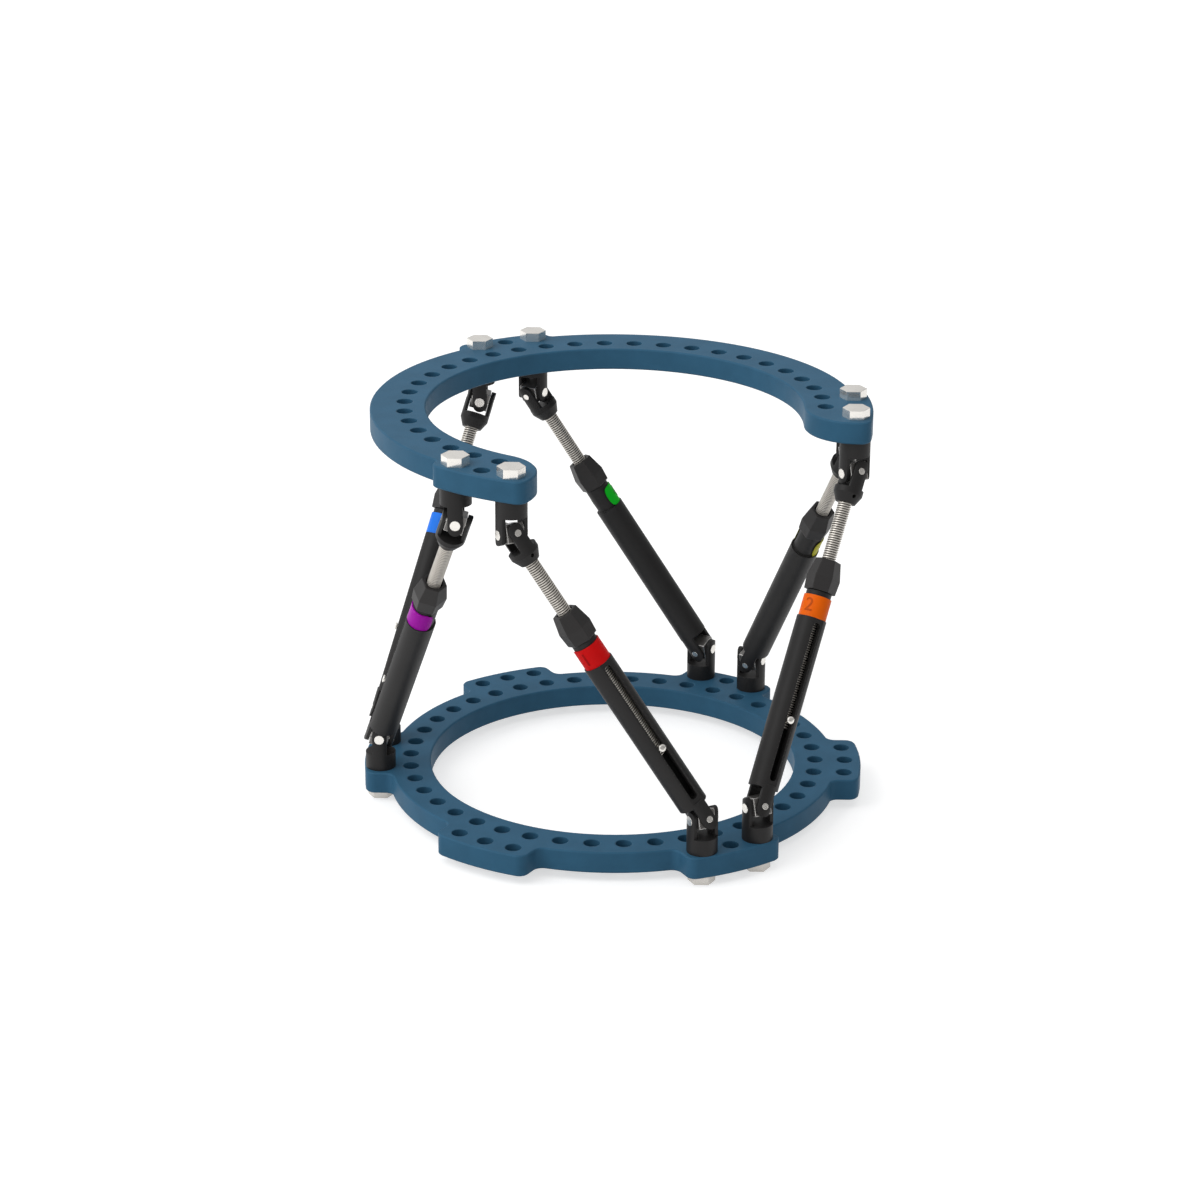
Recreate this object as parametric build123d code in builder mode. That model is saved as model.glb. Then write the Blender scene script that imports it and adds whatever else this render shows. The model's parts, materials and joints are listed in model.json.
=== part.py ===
from build123d import *
import math
import os

os.makedirs("parts", exist_ok=True)

# Ring fixator: a full lower ring and an open upper ring held apart by six adjustable struts.
# Millimetres. Z is the ring axis, z = 0 is the underside of the lower bolt heads and the
# opening of the upper ring faces -Y.

# Rings
ring_inner_r = 80.0
ring_thick = 9.5
ring_spacing = 162.8
ring_edge = 0.5
full_ring_w = 18.0
open_ring_w = 23.5
hole_inset = 9.0
hole_count = 42
hole_d = 7.0

# Tabs that carry the struts
tab_count = 6
gap_tab = 4
tab_hole_inset = 22.0
tab_reach = 7.0
tab_hole_step = 7.5
first_tab = 30.0

# Bolts that hold the strut ends on the rings
bolt_d = 6.0
bolt_head_across = 10.0
bolt_head_h = 4.0
bolt_end_gap = 0.5

# Universal joints
joint_d = 13.0
pivot_h = 14.7
fork_floor = 7.6
foot_floor = 0.6
ear_tip = 4.4
ear_half = 3.1
ear_corner_r = 3.0
block_half = 3.9
block_gap = 0.3
main_pin_d = 4.2
side_pin_d = 2.8
pin_play = 0.05
pin_inset = 0.1

# Strut body
body_d = 12.8
body_top = 81.4
flat_depth = 0.5
neck_d = 10.8
neck_len = 11.5
spigot_d = 9.2
spigot_len = 5.5
bore_wall = 2.8
slot_margin = 0.5
slot_land = 1.7
slot_w = 3.4

# Identification band
band_h = 9.4
band_thick = 0.55
band_gap = 10.6
band_turns = (-11.0, -11.0, -11.0, -3.0, -11.0, 23.0)

# Adjusting knob
knob_gap = 0.3
knob_h = 13.7
knob_belly_h = 6.0
knob_belly_d = 14.4
knob_foot_d = 13.4
knob_top_d = 10.8
knob_play = 0.05

# Threaded rod with its indicator pin
rod_d = 6.0
rod_play = 0.6
rod_seat = 9.0
rod_tail = 3.5
mark_station = 37.4
mark_play = 0.5
mark_head_d = 3.2
mark_head_h = 0.8
mark_lift = 0.4

# Rod yoke
yoke_d = 12.5
yoke_straight = 10.0
yoke_end = 14.0
yoke_end_d = 8.5
lock_hole_d = 1.6
lock_hole_at = 11.0

full_ring_r = ring_inner_r + full_ring_w
open_ring_r = ring_inner_r + open_ring_w
hole_circle_r = ring_inner_r + hole_inset
tab_hole_r = ring_inner_r + tab_hole_inset
tab_r = tab_hole_r + tab_reach
tab_half = tab_hole_inset
tab_step = 360.0 / tab_count
full_corner_r = 0.4 * (tab_r - full_ring_r)
full_root_r = 0.36 * (tab_r - full_ring_r)
end_straight = math.sqrt(tab_r**2 - tab_half**2) - tab_hole_r
open_corner_r = min(0.8 * (tab_r - open_ring_r), 0.95 * end_straight)
open_root_r = 0.4 * (tab_r - open_ring_r)
lower_bottom = bolt_head_h
lower_top = lower_bottom + ring_thick
upper_top = lower_top + ring_spacing
upper_bottom = upper_top - ring_thick
low_pivot_z = lower_top + pivot_h
high_pivot_z = upper_bottom - pivot_h
fork_half_gap = block_half + block_gap
bolt_grip = pivot_h - fork_floor - foot_floor - bolt_end_gap
flat_start = fork_floor + bore_wall / 2
bore_floor = fork_floor + bore_wall
slot_start = bore_floor + slot_margin
slot_end = body_top - slot_land
bore_r = rod_d / 2 + rod_play
mark_d = slot_w - 2 * mark_play
neck_top = body_top + neck_len
knob_base = neck_top + knob_gap
band_r = neck_d / 2 + band_thick


def polar(r, angle, z):
    return Vector(r * math.cos(math.radians(angle)), r * math.sin(math.radians(angle)), z)


def tab_outline(count, start):
    # Parallel-sided tabs, closed outside by the tab radius.
    with PolarLocations(tab_r / 2, count, start_angle=start):
        Rectangle(tab_r, 2 * tab_half)


def tab_holes(count, start):
    for shift in (-tab_hole_step, 0, tab_hole_step):
        with PolarLocations(tab_hole_r, count, start_angle=start + shift):
            Circle(hole_d / 2, mode=Mode.SUBTRACT)


def break_edges(ring):
    # Small chamfer around the outline and the inside of both faces, clear of the holes.
    for face in (ring.faces().sort_by(Axis.Z)[0], ring.faces().sort_by(Axis.Z)[-1]):
        rims = [wire for wire in face.wires() if wire.length > 10 * hole_d]
        chamfer([edge for wire in rims for edge in wire.edges()], ring_edge)


def cut_fork(joint, diameter, pin_d):
    # Leaves two ears with rounded tips of the round bar around the pivot, and bores them for the
    # pin; the joint plane lies on the pivot, its X along the pin and its Z towards the tips.
    with BuildSketch(joint.offset(-fork_floor)) as waste:
        Rectangle(2 * diameter, 2 * diameter)
        Rectangle(3 * diameter, 2 * ear_half, mode=Mode.SUBTRACT)
        Rectangle(2 * fork_half_gap, 2 * ear_half)
    extrude(waste.sketch, amount=fork_floor + 2 * ear_tip, mode=Mode.SUBTRACT)
    side = Plane(joint.origin, x_dir=joint.y_dir, z_dir=joint.x_dir)
    corner_x = ear_half - ear_corner_r
    corner_y = ear_tip - ear_corner_r
    with BuildSketch(side) as corners:
        with Locations((corner_x, corner_y), (-corner_x, corner_y)):
            Rectangle(2 * ear_corner_r, 2 * ear_corner_r)
        with Locations((0, corner_y - ear_corner_r)):
            Rectangle(2 * ear_half, 2 * ear_corner_r, mode=Mode.SUBTRACT)
        Rectangle(2 * corner_x, 2 * ear_tip, mode=Mode.SUBTRACT)
        with Locations((corner_x, corner_y), (-corner_x, corner_y)):
            Circle(ear_corner_r, mode=Mode.SUBTRACT)
    extrude(corners.sketch, amount=diameter, both=True, mode=Mode.SUBTRACT)
    with BuildSketch(side) as pin_hole:
        Circle(pin_d / 2 + pin_play)
    extrude(pin_hole.sketch, amount=diameter, both=True, mode=Mode.SUBTRACT)


def add_base_yoke(joint):
    # Round bar on the ring face with a tapped hole for the bolt, forked at its other end.
    with BuildSketch(joint.offset(-pivot_h)) as bar:
        Circle(joint_d / 2)
    extrude(bar.sketch, amount=pivot_h + ear_tip)
    cut_fork(joint, joint_d, main_pin_d)
    with BuildSketch(joint.offset(-pivot_h)) as tapped_hole:
        Circle(bolt_d / 2)
    extrude(tapped_hole.sketch, amount=bolt_grip + bolt_end_gap, mode=Mode.SUBTRACT)


def add_bolt(face):
    # Hexagon head outside the ring face, shank through the ring into the yoke foot.
    with BuildSketch(face) as head:
        RegularPolygon(bolt_head_across / 2, 6, major_radius=False, rotation=30)
    extrude(head.sketch, amount=bolt_head_h)
    with BuildSketch(face) as shank:
        Circle(bolt_d / 2)
    extrude(shank.sketch, amount=-(ring_thick + bolt_grip))


# Each strut runs between a hole beside a lower tab's middle and one beside the next upper tab's.
struts = []
for pair in range(3):
    tab = first_tab + tab_step * (gap_tab + 2 * pair)
    for side in (-1, 1):
        low_angle = tab + side * tab_hole_step
        high_angle = tab + side * (tab_step - tab_hole_step)
        low = polar(tab_hole_r, low_angle, low_pivot_z)
        high = polar(tab_hole_r, high_angle, high_pivot_z)
        along = (high - low).normalized()
        main_axis = polar(1, tab + 90, 0)
        side_axis = main_axis.cross(along).normalized()
        if side_axis.dot(polar(1, tab, 0)) < 0:
            side_axis = -side_axis
        struts.append((low, high, along, main_axis, side_axis))

# Full lower ring: one closed circle of holes and six tabs.
with BuildPart() as lower_ring:
    with BuildSketch(Plane.XY.offset(lower_bottom)) as full_shape:
        Circle(full_ring_r)
        tab_outline(tab_count, first_tab)
        Circle(tab_r, mode=Mode.INTERSECT)
        corners = full_shape.vertices()
        fillet([v for v in corners if math.hypot(v.X, v.Y) > full_ring_r + 1], full_corner_r)
        roots = full_shape.vertices()
        fillet([v for v in roots if abs(math.hypot(v.X, v.Y) - full_ring_r) < 0.1], full_root_r)
        Circle(ring_inner_r, mode=Mode.SUBTRACT)
        with PolarLocations(hole_circle_r, hole_count, start_angle=first_tab):
            Circle(hole_d / 2, mode=Mode.SUBTRACT)
        tab_holes(tab_count, first_tab)
    extrude(amount=ring_thick)
    break_edges(lower_ring)
lower_ring.part.label = "lower_ring"
export_step(lower_ring.part, "parts/lower_ring.step")

# Open upper ring: two thirds of a wider ring with three tabs, its ends rounded about the tab holes.
gap_middle = first_tab + gap_tab * tab_step
open_start = gap_middle + tab_step
open_turn = 4 * tab_step
open_holes = round(hole_count * open_turn / 360) + 1
with BuildPart() as upper_ring:
    with BuildSketch(Plane.XY.offset(upper_bottom)) as open_shape:
        Circle(open_ring_r)
        with BuildLine():
            Polyline(
                (0, 0),
                tuple(polar(2 * tab_r, gap_middle - tab_step, 0))[:2],
                tuple(polar(4 * tab_r, gap_middle, 0))[:2],
                tuple(polar(2 * tab_r, gap_middle + tab_step, 0))[:2],
                close=True,
            )
        make_face(mode=Mode.SUBTRACT)
        tab_outline(1, gap_middle + 3 * tab_step)
        for end_angle, inward in ((gap_middle - tab_step, -1), (gap_middle + tab_step, 1)):
            with PolarLocations(tab_hole_r, 1, start_angle=end_angle):
                Circle(tab_half)
                with Locations((tab_half / 2, 0)):
                    Rectangle(tab_half, 2 * tab_half)
                with Locations((0, inward * tab_half / 2)):
                    Rectangle(2 * tab_half, tab_half)
        Circle(tab_r, mode=Mode.INTERSECT)
        Circle(ring_inner_r, mode=Mode.SUBTRACT)
        corners = open_shape.vertices()
        fillet([v for v in corners if math.hypot(v.X, v.Y) > tab_r - 0.1], open_corner_r)
        roots = open_shape.vertices()
        fillet([v for v in roots if abs(math.hypot(v.X, v.Y) - open_ring_r) < 0.1], open_root_r)
        with PolarLocations(hole_circle_r, open_holes, open_start, open_turn, endpoint=True):
            Circle(hole_d / 2, mode=Mode.SUBTRACT)
        tab_holes(3, gap_middle + tab_step)
    extrude(amount=ring_thick)
    break_edges(upper_ring)
upper_ring.part.label = "upper_ring"
export_step(upper_ring.part, "parts/upper_ring.step")

# Six bolts under the lower ring; their heads are its feet.
with BuildPart() as lower_bolts:
    for low, high, along, main_axis, side_axis in struts:
        foot = Vector(low.X, low.Y, lower_bottom)
        add_bolt(Plane(foot, x_dir=main_axis, z_dir=(0, 0, -1)))
lower_bolts.part.label = "lower_ring_bolts"
export_step(lower_bolts.part, "parts/lower_ring_bolts.step")

# Six bolts on top of the upper ring.
with BuildPart() as upper_bolts:
    for low, high, along, main_axis, side_axis in struts:
        crown = Vector(high.X, high.Y, upper_top)
        add_bolt(Plane(crown, x_dir=main_axis, z_dir=(0, 0, 1)))
upper_bolts.part.label = "upper_ring_bolts"
export_step(upper_bolts.part, "parts/upper_ring_bolts.step")

# Base yokes standing on the lower ring.
with BuildPart() as lower_yokes:
    for low, high, along, main_axis, side_axis in struts:
        add_base_yoke(Plane(low, x_dir=main_axis, z_dir=(0, 0, 1)))
lower_yokes.part.label = "lower_base_yokes"
export_step(lower_yokes.part, "parts/lower_base_yokes.step")

# Base yokes hanging under the upper ring.
with BuildPart() as upper_yokes:
    for low, high, along, main_axis, side_axis in struts:
        add_base_yoke(Plane(high, x_dir=main_axis, z_dir=(0, 0, -1)))
upper_yokes.part.label = "upper_base_yokes"
export_step(upper_yokes.part, "parts/upper_base_yokes.step")

for number, (low, high, along, main_axis, side_axis) in enumerate(struts, 1):
    name = f"strut_{number}"
    band_turn = band_turns[number - 1]
    strut = Plane(low, x_dir=side_axis, z_dir=along)
    strut_axis = Axis(low, along)
    front = Plane(low, x_dir=along, z_dir=side_axis)
    clip = Plane(low, x_dir=along, z_dir=side_axis.rotate(Axis((0, 0, 0), along), band_turn))

    # Body: slotted tube with a flat beside the slot, a neck for the band, a spigot for the
    # knob and a fork at its foot.
    with BuildPart() as body:
        with BuildSketch(strut.offset(-ear_tip)):
            Circle(body_d / 2)
        extrude(amount=body_top + ear_tip)
        with BuildSketch(strut.offset(flat_start)):
            with Locations((body_d / 2, 0)):
                Rectangle(2 * flat_depth, body_d)
        extrude(amount=body_top - flat_start, mode=Mode.SUBTRACT)
        with BuildSketch(strut.offset(body_top)):
            Circle(neck_d / 2)
        extrude(amount=neck_len)
        with BuildSketch(strut.offset(neck_top)):
            Circle(spigot_d / 2)
        extrude(amount=spigot_len)
        with BuildSketch(strut.offset(bore_floor)):
            Circle(bore_r)
        extrude(amount=neck_top + spigot_len - bore_floor, mode=Mode.SUBTRACT)
        with BuildSketch(front):
            with Locations(((slot_start + slot_end) / 2, 0)):
                SlotOverall(slot_end - slot_start, slot_w)
        extrude(amount=body_d, mode=Mode.SUBTRACT)
        cut_fork(Plane(low, x_dir=side_axis, z_dir=-along), body_d, side_pin_d)
    body.part.label = f"{name}_body"
    export_step(body.part, f"parts/{name}_body.step")

    # Identification band: a spring clip around the neck, open at the back, with rounded tips.
    with BuildPart() as band:
        with BuildSketch(strut.offset(body_top)):
            Circle(band_r)
            Circle(neck_d / 2, mode=Mode.SUBTRACT)
        extrude(amount=band_h)
        with BuildSketch(clip):
            with Locations((body_top + band_h / 2, 0)):
                Rectangle(band_h, 2 * band_r)
            with Locations((body_top + band_h / 2, band_r), (body_top + band_h / 2, -band_r)):
                Ellipse(band_h / 2, band_r - band_gap / 2, mode=Mode.SUBTRACT)
        extrude(amount=-2 * band_r, mode=Mode.SUBTRACT)
    band.part.label = f"{name}_id_band"
    export_step(band.part, f"parts/{name}_id_band.step")

    # Knob: hexagonal barrel, wide in the middle, that turns on the body's spigot.
    with BuildPart() as knob:
        with BuildSketch(strut.offset(knob_base)):
            RegularPolygon(knob_foot_d / 2, 6)
        with BuildSketch(strut.offset(knob_base + knob_belly_h)):
            RegularPolygon(knob_belly_d / 2, 6)
        with BuildSketch(strut.offset(knob_base + knob_h)):
            RegularPolygon(knob_top_d / 2, 6)
        loft(ruled=True)
        with BuildSketch(strut.offset(knob_base)):
            Circle(bore_r)
        extrude(amount=knob_h, mode=Mode.SUBTRACT)
        with BuildSketch(strut.offset(knob_base)):
            Circle(spigot_d / 2 + knob_play)
        extrude(amount=spigot_len, mode=Mode.SUBTRACT)
    knob.part.label = f"{name}_knob"
    export_step(knob.part, f"parts/{name}_knob.step")

    # Rod: screwed bar from the rod yoke down into the body, with the indicator pin in the slot.
    hang = Plane(high, x_dir=side_axis, z_dir=-along)
    rod_end = (high - low).length - mark_station + rod_tail
    point = Plane(low + along * mark_station, x_dir=along, z_dir=side_axis)
    head_at = body_d / 2 - flat_depth + mark_lift
    with BuildPart() as rod:
        with BuildSketch(hang.offset(rod_seat)):
            Circle(rod_d / 2)
        extrude(amount=rod_end - rod_seat)
        with BuildSketch(point):
            Circle(mark_d / 2)
        extrude(amount=head_at)
        with BuildSketch(point.offset(head_at)):
            Circle(mark_head_d / 2)
        extrude(amount=mark_head_h)
    rod.part.label = f"{name}_rod"
    export_step(rod.part, f"parts/{name}_rod.step")

    # Rod yoke: fork above, cone below, bored for the rod and drilled across for its lock pin.
    with BuildPart() as rod_yoke:
        with BuildSketch(Plane(high, x_dir=side_axis, z_dir=side_axis.cross(along))):
            with BuildLine():
                Polyline(
                    (0, ear_tip),
                    (yoke_d / 2, ear_tip),
                    (yoke_d / 2, -yoke_straight),
                    (yoke_end_d / 2, -yoke_end),
                    (0, -yoke_end),
                    close=True,
                )
            make_face()
        revolve(axis=strut_axis)
        with BuildSketch(hang.offset(rod_seat)):
            Circle(rod_d / 2)
        extrude(amount=yoke_end - rod_seat, mode=Mode.SUBTRACT)
        with BuildSketch(Plane(high - along * lock_hole_at, x_dir=along, z_dir=side_axis)):
            Circle(lock_hole_d / 2)
        extrude(amount=yoke_d, mode=Mode.SUBTRACT)
        cut_fork(Plane(high, x_dir=side_axis, z_dir=along), yoke_d, side_pin_d)
    rod_yoke.part.label = f"{name}_rod_yoke"
    export_step(rod_yoke.part, f"parts/{name}_rod_yoke.step")

    # A block and two crossed pins at each end; the thin pin passes through the thick one.
    for end, pivot, fork_d in (("lower", low, body_d), ("upper", high, yoke_d)):
        main_end = Plane(pivot, x_dir=side_axis, z_dir=main_axis)
        side_end = Plane(pivot, x_dir=main_axis, z_dir=side_axis)
        with BuildPart() as cross:
            with BuildSketch(main_end):
                Rectangle(2 * block_half, 2 * block_half)
                Circle(main_pin_d / 2, mode=Mode.SUBTRACT)
            extrude(amount=block_half, both=True)
            with BuildSketch(side_end):
                Circle(side_pin_d / 2)
            extrude(amount=block_half, both=True, mode=Mode.SUBTRACT)
        cross.part.label = f"{name}_{end}_cross"
        export_step(cross.part, f"parts/{name}_{end}_cross.step")

        with BuildPart() as main_pin:
            with BuildSketch(main_end):
                Circle(main_pin_d / 2)
            extrude(amount=joint_d / 2 - pin_inset, both=True)
            with BuildSketch(side_end):
                Circle(side_pin_d / 2)
            extrude(amount=main_pin_d, both=True, mode=Mode.SUBTRACT)
        with BuildPart() as side_pin:
            with BuildSketch(side_end):
                Circle(side_pin_d / 2)
            extrude(amount=fork_d / 2 - pin_inset, both=True)
        pins = Compound(children=[main_pin.part, side_pin.part], label=f"{name}_{end}_pins")
        export_step(pins, f"parts/{name}_{end}_pins.step")
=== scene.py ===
import json
import math

import bpy
from mathutils import Matrix, Vector


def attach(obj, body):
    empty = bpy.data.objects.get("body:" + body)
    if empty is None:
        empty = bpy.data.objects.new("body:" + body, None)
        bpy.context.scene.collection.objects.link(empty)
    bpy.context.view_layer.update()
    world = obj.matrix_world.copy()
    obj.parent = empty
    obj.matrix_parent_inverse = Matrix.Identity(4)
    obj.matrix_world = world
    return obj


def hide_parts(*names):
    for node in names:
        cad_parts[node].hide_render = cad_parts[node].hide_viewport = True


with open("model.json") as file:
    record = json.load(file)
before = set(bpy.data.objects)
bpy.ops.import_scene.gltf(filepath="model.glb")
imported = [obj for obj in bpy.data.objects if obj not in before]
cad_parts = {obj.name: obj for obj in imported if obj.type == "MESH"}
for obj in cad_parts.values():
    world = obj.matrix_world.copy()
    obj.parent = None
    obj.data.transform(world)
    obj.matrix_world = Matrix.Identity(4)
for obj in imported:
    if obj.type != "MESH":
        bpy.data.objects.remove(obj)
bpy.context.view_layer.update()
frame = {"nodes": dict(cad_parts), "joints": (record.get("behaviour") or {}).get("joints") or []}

nodes = frame["nodes"]
bpy.ops.object.select_all(action="DESELECT")


# Rings: the full lower ring and the open upper ring are milled from aluminium plate, bead blasted
# and anodised blue. Their broken edges are painted a little paler than the faces, a painted
# highlight.

# A mix node takes its two colours on inputs 6 and 7 and gives the mixed colour on output 2.
mix_from = 6
mix_to = 7
mix_out = 2


def surface(name, tone, edge_highlight, edge_highlight_mix, metallic, gloss, roughness, grain, edge_r):
    # A mottled coat with a fine grain, painted to the edge highlight colour where an edge is
    # softened: a painted highlight.
    mottling = 0.07
    gloss_spread = 0.2
    made = bpy.data.materials.new(name)
    made.use_nodes = True
    tree = made.node_tree
    shader = tree.nodes["Principled BSDF"]
    shader.inputs["Metallic"].default_value = metallic
    shader.inputs["Specular IOR Level"].default_value = gloss
    place = tree.nodes.new("ShaderNodeTexCoord")

    mottle = tree.nodes.new("ShaderNodeTexNoise")
    mottle.inputs["Scale"].default_value = 90.0
    mottle.inputs["Detail"].default_value = 6.0
    tree.links.new(place.outputs["Object"], mottle.inputs["Vector"])
    tones = tree.nodes.new("ShaderNodeValToRGB")
    tones.color_ramp.elements[0].position = 0.3
    tones.color_ramp.elements[1].position = 0.7
    tones.color_ramp.elements[0].color = (*((1 - mottling) * c for c in tone), 1)
    tones.color_ramp.elements[1].color = (*((1 + mottling) * c for c in tone), 1)
    tree.links.new(mottle.outputs["Fac"], tones.inputs["Fac"])

    edge = tree.nodes.new("ShaderNodeBevel")
    edge.samples = 6
    edge.inputs["Radius"].default_value = edge_r
    facing = tree.nodes.new("ShaderNodeNewGeometry")
    turned = tree.nodes.new("ShaderNodeVectorMath")
    turned.operation = "DOT_PRODUCT"
    tree.links.new(edge.outputs["Normal"], turned.inputs[0])
    tree.links.new(facing.outputs["Normal"], turned.inputs[1])
    # Painted highlight: where the bevelled normal leans off the face's normal, the colour turns
    # paler.
    edge_highlight_mask = tree.nodes.new("ShaderNodeMapRange")
    edge_highlight_mask.inputs["From Min"].default_value = 0.96
    edge_highlight_mask.inputs["From Max"].default_value = 0.78
    edge_highlight_mask.inputs["To Min"].default_value = 0.0
    edge_highlight_mask.inputs["To Max"].default_value = edge_highlight_mix
    tree.links.new(turned.outputs["Value"], edge_highlight_mask.inputs["Value"])
    coat = tree.nodes.new("ShaderNodeMix")
    coat.data_type = "RGBA"
    coat.inputs[mix_to].default_value = (*edge_highlight, 1)
    tree.links.new(edge_highlight_mask.outputs["Result"], coat.inputs["Factor"])
    tree.links.new(tones.outputs["Color"], coat.inputs[mix_from])
    tree.links.new(coat.outputs[mix_out], shader.inputs["Base Color"])

    specks = tree.nodes.new("ShaderNodeTexNoise")
    specks.inputs["Scale"].default_value = grain
    specks.inputs["Detail"].default_value = 3.0
    tree.links.new(place.outputs["Object"], specks.inputs["Vector"])
    sheen = tree.nodes.new("ShaderNodeMapRange")
    sheen.inputs["To Min"].default_value = (1 - gloss_spread) * roughness
    sheen.inputs["To Max"].default_value = (1 + gloss_spread) * roughness
    tree.links.new(specks.outputs["Fac"], sheen.inputs["Value"])
    tree.links.new(sheen.outputs["Result"], shader.inputs["Roughness"])
    relief = tree.nodes.new("ShaderNodeBump")
    relief.inputs["Strength"].default_value = 0.25
    relief.inputs["Distance"].default_value = 0.00003
    tree.links.new(specks.outputs["Fac"], relief.inputs["Height"])
    tree.links.new(edge.outputs["Normal"], relief.inputs["Normal"])
    tree.links.new(relief.outputs["Normal"], shader.inputs["Normal"])
    return made


def dress(node, material):
    nodes[node].material_slots[0].material = material


blue_anodise = surface(
    "blue_anodise", tone=(0.036, 0.124, 0.214), edge_highlight=(0.08, 0.19, 0.29), edge_highlight_mix=0.5,
    metallic=0.05, gloss=0.1, roughness=0.5, grain=2600.0, edge_r=0.0007,
)
for ring in ("lower_ring", "upper_ring"):
    dress(ring, blue_anodise)


# Base yokes: twelve turned and forked feet of aluminium bar, hard anodised black. Each is bolted to
# a ring face over a tab hole and carries the thick pin of a universal joint.
black_anodise = surface(
    "black_anodise", tone=(0.021, 0.020, 0.020), edge_highlight=(0.07, 0.07, 0.07), edge_highlight_mix=0.5,
    metallic=0.1, gloss=0.25, roughness=0.48, grain=3200.0, edge_r=0.0003,
)
for yokes in ("lower_base_yokes", "upper_base_yokes"):
    dress(yokes, black_anodise)


# Ring bolts: twelve plain hexagon bolts of stainless steel, turned from bar. Six go down through
# the upper ring into the base yokes, and six come up through the lower one. The fixator stands on
# the heads of those six, which are painted darker as painted shade under the ring.
stainless = surface(
    "stainless", tone=(0.90, 0.87, 0.82), edge_highlight=(0.95, 0.93, 0.90), edge_highlight_mix=0.6,
    metallic=0.75, gloss=0.5, roughness=0.2, grain=700.0, edge_r=0.0003,
)
# Painted shade: the same steel as above, painted darker for the lower heads in the ring's shade.
shaded_stainless = surface(
    "shaded_stainless", tone=(0.64, 0.61, 0.57), edge_highlight=(0.90, 0.88, 0.85), edge_highlight_mix=0.6,
    metallic=0.75, gloss=0.5, roughness=0.26, grain=700.0, edge_r=0.0003,
)
dress("upper_ring_bolts", stainless)
dress("lower_ring_bolts", shaded_stainless)


# Strut bodies: six slotted tubes of aluminium, hard anodised black, with a fork milled into the
# foot. A faint scale of painted marks, a little paler than the tube, runs down the flat on both
# sides of each slot. A strut's own z runs up from its lower pivot, and its x out through the slot.
joints = {joint["name"]: joint for joint in frame["joints"]}
struts = []
for number in range(1, 7):
    low = Vector(joints[f"strut_{number}_lower_main_pin"]["pos_m"])
    high = Vector(joints[f"strut_{number}_upper_main_pin"]["pos_m"])
    outward = Vector(joints[f"strut_{number}_lower_side_pin"]["axis"]).normalized()
    along = (high - low).normalized()
    turn = Matrix((outward, along.cross(outward), along)).transposed()
    struts.append((number, Matrix.Translation(low) @ turn.to_4x4()))
    dress(f"strut_{number}_body", black_anodise)


def apply_all(piece):
    # The piece's modifiers become part of its mesh, in their order.
    bpy.context.view_layer.objects.active = piece
    for step in list(piece.modifiers):
        bpy.ops.object.modifier_apply(modifier=step.name)


def copy_on(model, name, place):
    # A copy with its own mesh, laid on one strut.
    bpy.ops.object.select_all(action="DESELECT")
    model.select_set(True)
    bpy.context.view_layer.objects.active = model
    bpy.ops.object.duplicate(linked=False)
    piece = bpy.context.view_layer.objects.active
    piece.name = name
    piece.data.name = name
    piece.data.transform(place)
    piece.select_set(False)
    return piece


def drop(model):
    # A pattern goes once its copies are laid.
    bpy.ops.object.select_all(action="DESELECT")
    model.select_set(True)
    bpy.ops.object.delete()


flat_x = 0.0059
mark_t = 0.00008
mark_w = 0.00028
mark_sink = 0.00001
mark_inner = 0.00185
mark_bevel = 0.00002
mark_step = 0.005
# A row of marks: the height of the first one, their length and their number.
long_marks = (0.0150, 0.0005, 13)
short_marks = (0.0175, 0.0003, 12)
scale_rows = []
for first_z, reach, count in (long_marks, short_marks):
    bpy.ops.mesh.primitive_cube_add(size=1, location=(0, 0, 0))
    row = bpy.context.object
    row.data.transform(Matrix.Diagonal((mark_t, reach, mark_w, 1)))
    row.data.transform(Matrix.Translation((flat_x - mark_sink, mark_inner + reach / 2, first_z)))
    softened = row.modifiers.new("softened", "BEVEL")
    softened.width = mark_bevel
    softened.segments = 1
    spaced = row.modifiers.new("spaced", "ARRAY")
    spaced.use_relative_offset = False
    spaced.use_constant_offset = True
    spaced.constant_offset_displace = (0, 0, mark_step)
    spaced.count = count
    both_sides = row.modifiers.new("both_sides", "MIRROR")
    both_sides.use_axis = (False, True, False)
    apply_all(row)
    scale_rows.append(row)
bpy.ops.object.select_all(action="DESELECT")
for row in scale_rows:
    row.select_set(True)
bpy.context.view_layer.objects.active = scale_rows[0]
bpy.ops.object.join()
scale_model = bpy.context.object
bpy.ops.object.mode_set(mode="EDIT")
bpy.ops.mesh.select_all(action="SELECT")
bpy.ops.mesh.normals_make_consistent(inside=False)
bpy.ops.object.mode_set(mode="OBJECT")
scale_paint = surface(
    "scale_paint", tone=(0.055, 0.053, 0.05), edge_highlight=(0.08, 0.08, 0.08), edge_highlight_mix=0.3,
    metallic=0.0, gloss=0.25, roughness=0.55, grain=4000.0, edge_r=0.00005,
)
scale_model.data.materials.append(scale_paint)
for number, place in struts:
    marks = copy_on(scale_model, f"strut_{number}_scale", place)
    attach(marks, f"strut_{number}_body")
drop(scale_model)


# Identification bands: a moulded spring clip in its own colour snaps round the neck of each body.
# The strut's number stands in low relief on the band beside the slot, painted darker than the band
# as painted shade. It is cut into narrow slices and then wrapped round the band.
band_tones = (
    ("band_red", (0.740, 0.004, 0.005)),
    ("band_orange", (0.950, 0.145, 0.001)),
    ("band_yellow", (0.578, 0.546, 0.021)),
    ("band_green", (0.003, 0.600, 0.020)),
    ("band_blue", (0.021, 0.223, 0.956)),
    ("band_purple", (0.420, 0.002, 0.440)),
)
band_r = 0.00595
band_middle = 0.0861
band_highlight_lift = 0.05
digit_painted_shade = 0.6
digit_h = 0.0056
font_digit_h = 0.69
digit_relief = 0.00012
digit_lift = 0.00006
digit_angle = math.radians(-58)
slice_w = 0.0003
slices_each_side = 7
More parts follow.
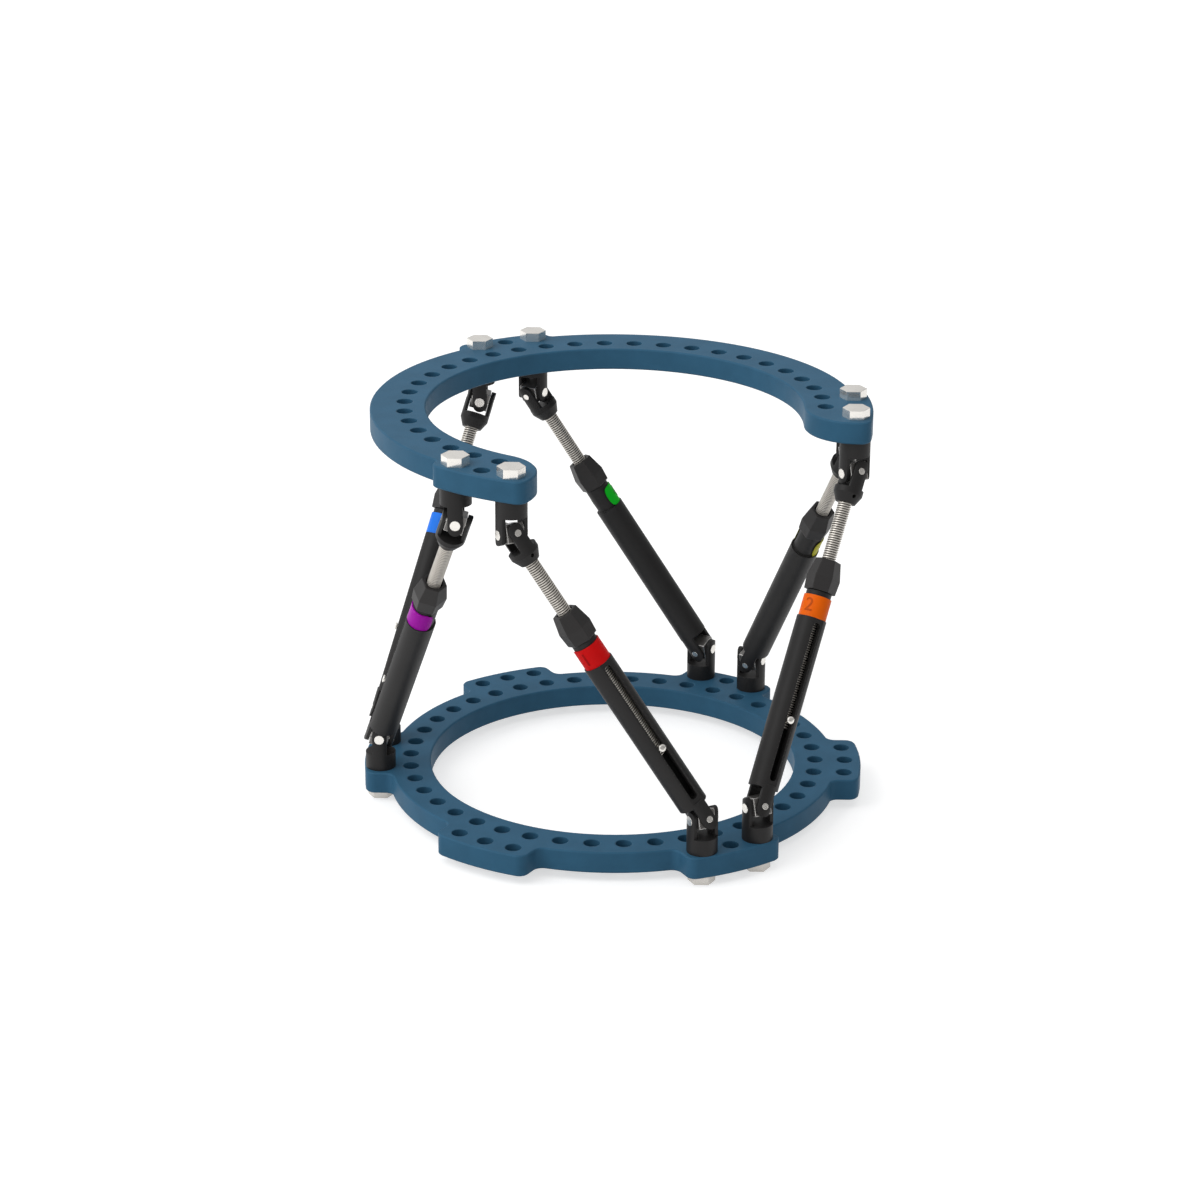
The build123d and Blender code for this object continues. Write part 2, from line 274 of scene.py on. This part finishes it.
# How near to a cut a point counts as on it, and how near two points count as one.
cut_reach = 0.0000001
merge_reach = 0.00001


def band_plastic(name, tone, edge_highlight, edge_r):
    return surface(name, tone, edge_highlight, edge_highlight_mix=0.3, metallic=0.0, gloss=0.12, roughness=0.42,
                   grain=2200.0, edge_r=edge_r)


for (number, place), (band, tone) in zip(struts, band_tones):
    # Painted highlight: the band's softened edges are painted a little paler than the band.
    paler = tuple(min(1, c + band_highlight_lift) for c in tone)
    dress(f"strut_{number}_id_band", band_plastic(band, tone, paler, edge_r=0.0003))
    bpy.ops.object.text_add(location=(0, 0, 0))
    figure = bpy.context.object
    figure.data.body = str(number)
    figure.data.align_x = "CENTER"
    figure.data.align_y = "CENTER"
    figure.data.size = digit_h / font_digit_h
    figure.data.extrude = digit_relief
    figure.data.resolution_u = 5
    bpy.ops.object.convert(target="MESH")
    figure = bpy.context.object
    figure.name = f"strut_{number}_digit"
    figure.data.name = figure.name
    bpy.ops.object.mode_set(mode="EDIT")
    bpy.ops.mesh.select_all(action="SELECT")
    bpy.ops.mesh.remove_doubles(threshold=merge_reach)
    for step in range(-slices_each_side, slices_each_side + 1):
        bpy.ops.mesh.select_all(action="SELECT")
        bpy.ops.mesh.bisect(plane_co=(step * slice_w, 0, 0), plane_no=(1, 0, 0), threshold=cut_reach)
    bpy.ops.mesh.select_all(action="SELECT")
    bpy.ops.mesh.remove_doubles(threshold=merge_reach)
    bpy.ops.mesh.dissolve_degenerate(threshold=merge_reach)
    bpy.ops.mesh.select_all(action="SELECT")
    bpy.ops.mesh.normals_make_consistent(inside=False)
    bpy.ops.object.mode_set(mode="OBJECT")
    for point in figure.data.vertices:
        x, y, z = point.co
        angle = digit_angle + x / band_r
        r = band_r + z + digit_lift
        point.co = (r * math.cos(angle), r * math.sin(angle), band_middle + y)
    figure.data.transform(place)
    # Painted shade: the digit is painted darker than its band, in place of the shade on its relief.
    darker = tuple(digit_painted_shade * c for c in tone)
    figure.data.materials.clear()
    figure.data.materials.append(band_plastic(band + "_digit", darker, tone, edge_r=0.00005))
    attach(figure, f"strut_{number}_body")
    figure.select_set(False)


# Adjusting knobs: six hexagonal barrels moulded in black plastic. Each turns on the spigot at the
# top of its strut body and works the threaded rod.
knob_plastic = surface(
    "knob_plastic", tone=(0.026, 0.024, 0.024), edge_highlight=(0.06, 0.058, 0.058), edge_highlight_mix=0.4,
    metallic=0.0, gloss=0.3, roughness=0.46, grain=2800.0, edge_r=0.0006,
)
for number, place in struts:
    dress(f"strut_{number}_knob", knob_plastic)


# Threaded rods: a rolled stainless thread runs from each rod yoke down through the knob into the
# body, 1 mm for each turn. Near its foot a round-headed indicator pin stands out through the slot.
# One turn's profile is wound into a screw and cut flat at both ends, and the groove is painted
# darker as painted shade.
pitch = 0.001
crest_r = 0.0030
root_r = 0.00248
crest_w = 0.46 * pitch
flank_w = 0.14 * pitch
root_w = pitch - crest_w - 2 * flank_w
thread_depth = crest_r - root_r
pin_z = 0.0374
foot_below_pin = 0.003513
top_below_pivot = 0.009011
spare_turns = 2
thread_facets = 28
lower_pivot = Vector(joints["strut_1_lower_main_pin"]["pos_m"])
upper_pivot = Vector(joints["strut_1_upper_main_pin"]["pos_m"])
rod_top = (upper_pivot - lower_pivot).length - top_below_pivot
rod_foot = pin_z - foot_below_pin
bpy.ops.mesh.primitive_plane_add(size=1, location=(0, 0, 0))
thread_model = bpy.context.object
bpy.ops.object.mode_set(mode="EDIT")
bpy.ops.mesh.select_all(action="SELECT")
bpy.ops.mesh.merge(type="CENTER")
bpy.ops.transform.translate(value=(crest_r, 0, rod_foot - spare_turns * pitch))
for out, rise in ((0, crest_w), (-thread_depth, flank_w), (0, root_w), (thread_depth, flank_w)):
    bpy.ops.mesh.extrude_vertices_move(TRANSFORM_OT_translate={"value": (out, 0, rise)})
bpy.ops.object.mode_set(mode="OBJECT")
wound = thread_model.modifiers.new("wound", "SCREW")
wound.axis = "Z"
wound.angle = math.tau
wound.screw_offset = pitch
wound.iterations = round((rod_top - rod_foot) / pitch) + 2 * spare_turns
wound.steps = thread_facets
wound.render_steps = thread_facets
wound.use_merge_vertices = True
wound.merge_threshold = merge_reach
apply_all(thread_model)
bpy.ops.object.mode_set(mode="EDIT")
bpy.ops.mesh.select_all(action="SELECT")
bpy.ops.mesh.remove_doubles(threshold=merge_reach)
bpy.ops.mesh.bisect(plane_co=(0, 0, rod_top), plane_no=(0, 0, 1), use_fill=True, clear_outer=True,
                    threshold=cut_reach)
bpy.ops.mesh.select_all(action="SELECT")
bpy.ops.mesh.bisect(plane_co=(0, 0, rod_foot), plane_no=(0, 0, 1), use_fill=True, clear_inner=True,
                    threshold=cut_reach)
bpy.ops.mesh.select_all(action="SELECT")
bpy.ops.mesh.normals_make_consistent(inside=False)
bpy.ops.object.mode_set(mode="OBJECT")
bpy.ops.object.shade_smooth_by_angle(angle=math.radians(30))
groove = thread_model.data.attributes.new("groove", "FLOAT", "POINT")
for point, sunk in zip(thread_model.data.vertices, groove.data):
    sunk.value = (crest_r - math.hypot(point.co.x, point.co.y)) / thread_depth
thread_steel = surface(
    "thread_steel", tone=(0.74, 0.70, 0.64), edge_highlight=(0.86, 0.83, 0.79), edge_highlight_mix=0.5,
    metallic=0.7, gloss=0.4, roughness=0.4, grain=2400.0, edge_r=0.00012,
)
# Painted shade: the thread's groove is painted near black, darkest at the root.
groove_painted_shade = (0.10, 0.09, 0.08, 1)
steel_tree = thread_steel.node_tree
steel_shader = steel_tree.nodes["Principled BSDF"]
bare = steel_shader.inputs["Base Color"].links[0].from_socket
sunk_in = steel_tree.nodes.new("ShaderNodeAttribute")
sunk_in.attribute_name = "groove"
groove_shading = steel_tree.nodes.new("ShaderNodeMix")
groove_shading.data_type = "RGBA"
groove_shading.inputs[mix_to].default_value = groove_painted_shade
steel_tree.links.new(sunk_in.outputs["Fac"], groove_shading.inputs["Factor"])
steel_tree.links.new(bare, groove_shading.inputs[mix_from])
steel_tree.links.new(groove_shading.outputs[mix_out], steel_shader.inputs["Base Color"])
thread_model.data.materials.append(thread_steel)

shank_r = 0.0012
shank_from = 0.0025
shank_to = 0.0063
faces_out = 0.9
# The head's outline from the shank outwards: the radius at the end of each step, and its rise.
head_steps = ((0.00160, 0.0), (0.00160, 0.00045), (0.00135, 0.00025), (0.00080, 0.00010))
bpy.ops.object.select_all(action="DESELECT")
bpy.ops.mesh.primitive_cylinder_add(vertices=40, radius=shank_r, depth=shank_to - shank_from,
                                    location=(0, 0, (shank_from + shank_to) / 2))
pin_model = bpy.context.object
bpy.ops.object.transform_apply(location=True, rotation=True, scale=True)
bpy.ops.object.mode_set(mode="EDIT")
bpy.ops.mesh.select_all(action="DESELECT")
bpy.ops.object.mode_set(mode="OBJECT")
for face in pin_model.data.polygons:
    face.select = face.normal.z > faces_out
bpy.ops.object.mode_set(mode="EDIT")
r_now = shank_r
z_now = shank_to
for r_next, rise in head_steps:
    bpy.ops.mesh.extrude_region_move(TRANSFORM_OT_translate={"value": (0, 0, rise)})
    z_now += rise
    widen = r_next / r_now
    bpy.ops.transform.resize(value=(widen, widen, 1), center_override=(0, 0, z_now))
    r_now = r_next
bpy.ops.mesh.select_all(action="SELECT")
bpy.ops.mesh.normals_make_consistent(inside=False)
bpy.ops.object.mode_set(mode="OBJECT")
bpy.ops.object.shade_smooth_by_angle(angle=math.radians(45))
out_through_slot = Matrix.Rotation(math.radians(90), 4, "Y")
pin_model.data.transform(Matrix.Translation((0, 0, pin_z)) @ out_through_slot)
pin_model.data.materials.append(stainless)

for number, place in struts:
    rod = f"strut_{number}_rod"
    for model, part in ((thread_model, "thread"), (pin_model, "indicator")):
        piece = copy_on(model, f"strut_{number}_{part}", place)
        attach(piece, rod)
        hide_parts(rod)
for model in (thread_model, pin_model):
    drop(model)


# Rod yokes and universal joints: a black anodised fork is screwed on the top of each rod. At both
# strut ends a small steel block holds a thick and a thin pin that cross in it. The block's faces
# are painted dark as a painted dark reflection, and its edges bright as a painted highlight.
# Painted reflection: faces painted dark and edges painted near white, as on polished steel.
block_painted_reflections = surface(
    "block_painted_reflections", tone=(0.17, 0.162, 0.155), edge_highlight=(0.95, 0.93, 0.90), edge_highlight_mix=0.95,
    metallic=0.5, gloss=0.5, roughness=0.3, grain=1500.0, edge_r=0.0008,
)
for number, place in struts:
    dress(f"strut_{number}_rod_yoke", black_anodise)
    for end in ("lower", "upper"):
        dress(f"strut_{number}_{end}_cross", block_painted_reflections)
        dress(f"strut_{number}_{end}_pins", stainless)


# Floor: a wide sheet of white paper under the lower bolt heads. It takes the soft shadow and is
# lifted to white where it is looked at, straight or in a reflection.
floor_w = 60
paper_tone = 0.62
paper_lift = 0.62
bpy.ops.mesh.primitive_plane_add(size=floor_w, location=(0, 0, 0))
floor = bpy.context.object
floor.name = "floor"
paper = bpy.data.materials.new("paper")
paper.use_nodes = True
paper_nodes = paper.node_tree.nodes
paper_links = paper.node_tree.links
paper_shader = paper_nodes["Principled BSDF"]
paper_shader.inputs["Base Color"].default_value = (paper_tone, paper_tone, paper_tone, 1)
paper_shader.inputs["Roughness"].default_value = 0.9
paper_shader.inputs["Specular IOR Level"].default_value = 0.1
ray = paper_nodes.new("ShaderNodeLightPath")
seen = paper_nodes.new("ShaderNodeMath")
seen.operation = "ADD"
seen.use_clamp = True
paper_links.new(ray.outputs["Is Camera Ray"], seen.inputs[0])
paper_links.new(ray.outputs["Is Glossy Ray"], seen.inputs[1])
lift = paper_nodes.new("ShaderNodeMath")
lift.operation = "MULTIPLY"
lift.inputs[1].default_value = paper_lift
paper_links.new(seen.outputs["Value"], lift.inputs[0])
paper_shader.inputs["Emission Color"].default_value = (1, 1, 1, 1)
paper_links.new(lift.outputs["Value"], paper_shader.inputs["Emission Strength"])
floor.data.materials.append(paper)


# Studio: a plain white room, brightest above and behind on the left, with two large soft lamps
# that look at the middle of the fixator.
brightest_side = (-0.59, 0.49, 0.64)
world = bpy.data.worlds.new("studio")
bpy.context.scene.world = world
world.use_nodes = True
sky = world.node_tree.nodes
sky_links = world.node_tree.links
toward = sky.new("ShaderNodeTexCoord")
lit_side = sky.new("ShaderNodeVectorMath")
lit_side.operation = "DOT_PRODUCT"
lit_side.inputs[1].default_value = brightest_side
strength = sky.new("ShaderNodeMapRange")
strength.inputs["From Min"].default_value = -1.0
strength.inputs["From Max"].default_value = 1.0
strength.inputs["To Min"].default_value = 0.05
strength.inputs["To Max"].default_value = 0.95
sky_links.new(toward.outputs["Generated"], lit_side.inputs[0])
sky_links.new(lit_side.outputs["Value"], strength.inputs["Value"])
sky["Background"].inputs["Color"].default_value = (1, 1, 1, 1)
sky_links.new(strength.outputs["Result"], sky["Background"].inputs["Strength"])

lamps_look_at = Vector((0, 0, 0.09))
for name, spot, size, watts in (
    ("key_lamp", (-1.5, 0.1, 1.6), 1.4, 14.0),
    ("fill_lamp", (1.5, -0.9, 1.1), 1.2, 1.0),
):
    bpy.ops.object.light_add(type="AREA", location=spot)
    lamp = bpy.context.object
    lamp.name = name
    lamp.data.size = size
    lamp.data.energy = watts
    lamp.rotation_euler = (lamps_look_at - Vector(spot)).to_track_quat("-Z", "Y").to_euler()


# Camera: a long lens that looks from the front, 29 degrees round to the left and 21 degrees down.
# The angles were fitted to the ring circles and the strut pivots.
azimuth = math.radians(-28.58)
elevation = math.radians(21.243)
roll = math.radians(0.275)
aim = Vector((-0.005225, 0.002846, 0.08736))
distance = 1.4124
back = Vector((math.sin(azimuth) * math.cos(elevation), -math.cos(azimuth) * math.cos(elevation),
               math.sin(elevation)))
level_right = Vector((math.cos(azimuth), math.sin(azimuth), 0))
level_up = back.cross(level_right)
right = math.cos(roll) * level_right + math.sin(roll) * level_up
up = math.cos(roll) * level_up - math.sin(roll) * level_right
facing = Matrix((right, up, back)).transposed().to_4x4()
bpy.ops.object.camera_add()
camera = bpy.context.object
camera.name = "camera"
camera.data.sensor_width = 36
camera.data.lens = 97.965
camera.data.clip_end = 50
camera.matrix_world = Matrix.Translation(aim + distance * back) @ facing
bpy.context.scene.camera = camera
bpy.context.scene.view_settings.view_transform = "Standard"
